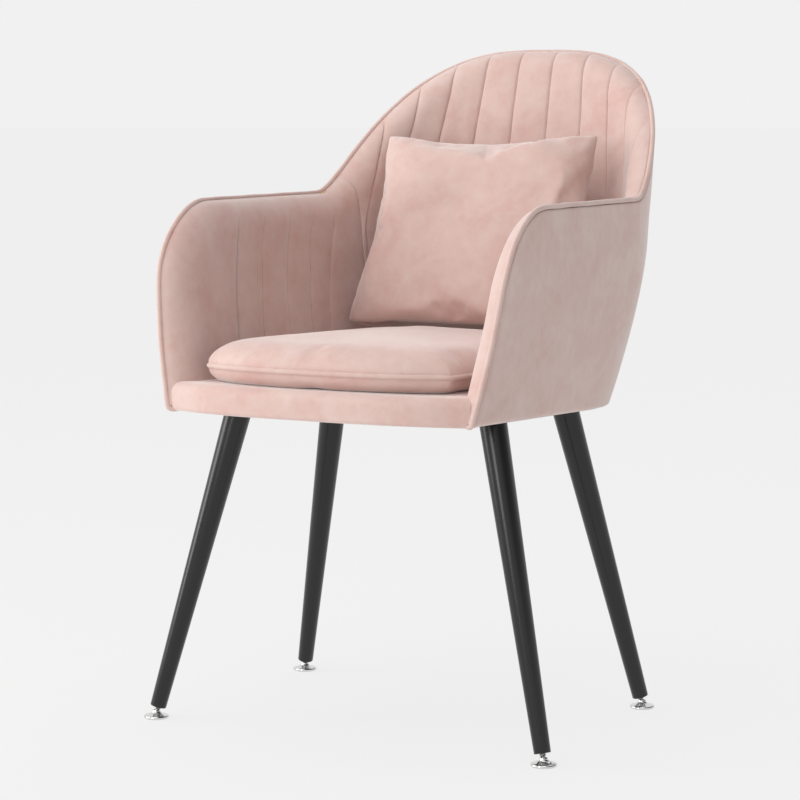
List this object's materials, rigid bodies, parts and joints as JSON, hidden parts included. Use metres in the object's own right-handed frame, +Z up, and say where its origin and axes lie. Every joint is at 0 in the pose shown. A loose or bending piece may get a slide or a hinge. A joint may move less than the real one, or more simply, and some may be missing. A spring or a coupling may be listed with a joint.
{
  "type": "upholstered armchair",
  "caption": "Velvet tub armchair with channelled inner shell, piped rim, loose seat cushion, throw pillow and splayed black legs on screw feet.",
  "frame": {"origin": "on the floor, under the middle of the chair's box", "axes": "+Z up, the chair faces -Y, +X is the sitter's left"},
  "size_m": [0.574, 0.6751, 0.8477],
  "materials": {
    "velvet": "matte",
    "foam": "matte",
    "plywood": "matte",
    "lining": "matte",
    "black_paint": "satin",
    "zinc_steel": "satin",
    "chrome": "polished"
  },
  "bodies": {
    "root": {"outer_cover": "velvet", "back_pad": "velvet", "left_arm_pad": "velvet", "right_arm_pad": "velvet", "rim_piping": "velvet", "seat_base_cover": "velvet", "shell_former": "plywood", "seat_board": "plywood", "seat_foam": "foam", "dust_cover": "lining", "shell_bolt_1": "zinc_steel", "shell_bolt_2": "zinc_steel", "shell_bolt_3": "zinc_steel", "shell_bolt_4": "zinc_steel", "leg_front_left": "black_paint", "leg_plate_front_left": "zinc_steel", "foot_insert_front_left": "zinc_steel", "plate_screw_front_left_1": "zinc_steel", "plate_screw_front_left_2": "zinc_steel", "plate_screw_front_left_3": "zinc_steel", "plate_screw_front_left_4": "zinc_steel", "leg_front_right": "black_paint", "leg_plate_front_right": "zinc_steel", "foot_insert_front_right": "zinc_steel", "plate_screw_front_right_1": "zinc_steel", "plate_screw_front_right_2": "zinc_steel", "plate_screw_front_right_3": "zinc_steel", "plate_screw_front_right_4": "zinc_steel", "leg_rear_left": "black_paint", "leg_plate_rear_left": "zinc_steel", "foot_insert_rear_left": "zinc_steel", "plate_screw_rear_left_1": "zinc_steel", "plate_screw_rear_left_2": "zinc_steel", "plate_screw_rear_left_3": "zinc_steel", "plate_screw_rear_left_4": "zinc_steel", "leg_rear_right": "black_paint", "leg_plate_rear_right": "zinc_steel", "foot_insert_rear_right": "zinc_steel", "plate_screw_rear_right_1": "zinc_steel", "plate_screw_rear_right_2": "zinc_steel", "plate_screw_rear_right_3": "zinc_steel", "plate_screw_rear_right_4": "zinc_steel"},
    "seat_cushion": {"seat_cushion": "velvet", "seat_cushion_welt": "velvet"},
    "throw_pillow": {"throw_pillow": "velvet"},
    "foot_pad_front_left": {"foot_pad_front_left": "chrome"},
    "foot_stud_front_left": {"foot_stud_front_left": "zinc_steel"},
    "foot_pad_front_right": {"foot_pad_front_right": "chrome"},
    "foot_stud_front_right": {"foot_stud_front_right": "zinc_steel"},
    "foot_pad_rear_left": {"foot_pad_rear_left": "chrome"},
    "foot_stud_rear_left": {"foot_stud_rear_left": "zinc_steel"},
    "foot_pad_rear_right": {"foot_pad_rear_right": "chrome"},
    "foot_stud_rear_right": {"foot_stud_rear_right": "zinc_steel"}
  },
  "joints": [
    {"name": "seat_cushion_lift", "type": "slide", "parent": "root", "child": "seat_cushion", "axis": [0, 0, 1], "range_m": [0, 0.25]},
    {"name": "throw_pillow_lift", "type": "slide", "parent": "seat_cushion", "child": "throw_pillow", "axis": [0, 0, 1], "range_m": [0, 0.3]},
    {"name": "foot_travel_front_left", "type": "slide", "parent": "root", "child": "foot_stud_front_left", "axis": [0.2322, -0.1313, -0.9638], "range_m": [0, 0.008]},
    {"name": "foot_swivel_front_left", "type": "hinge", "parent": "foot_stud_front_left", "child": "foot_pad_front_left", "pos_m": [0.271, -0.2415, 0.0062], "axis": [0, 0, 1], "continuous": true},
    {"name": "foot_travel_front_right", "type": "slide", "parent": "root", "child": "foot_stud_front_right", "axis": [-0.2322, -0.1313, -0.9638], "range_m": [0, 0.008]},
    {"name": "foot_swivel_front_right", "type": "hinge", "parent": "foot_stud_front_right", "child": "foot_pad_front_right", "pos_m": [-0.271, -0.2415, 0.0062], "axis": [0, 0, 1], "continuous": true},
    {"name": "foot_travel_rear_left", "type": "slide", "parent": "root", "child": "foot_stud_rear_left", "axis": [0.2093, 0.157, -0.9652], "range_m": [0, 0.008]},
    {"name": "foot_swivel_rear_left", "type": "hinge", "parent": "foot_stud_rear_left", "child": "foot_pad_rear_left", "pos_m": [0.251, 0.101, 0.0062], "axis": [0, 0, 1], "continuous": true},
    {"name": "foot_travel_rear_right", "type": "slide", "parent": "root", "child": "foot_stud_rear_right", "axis": [-0.2093, 0.157, -0.9652], "range_m": [0, 0.008]},
    {"name": "foot_swivel_rear_right", "type": "hinge", "parent": "foot_stud_rear_right", "child": "foot_pad_rear_right", "pos_m": [-0.251, 0.101, 0.0062], "axis": [0, 0, 1], "continuous": true}
  ]
}
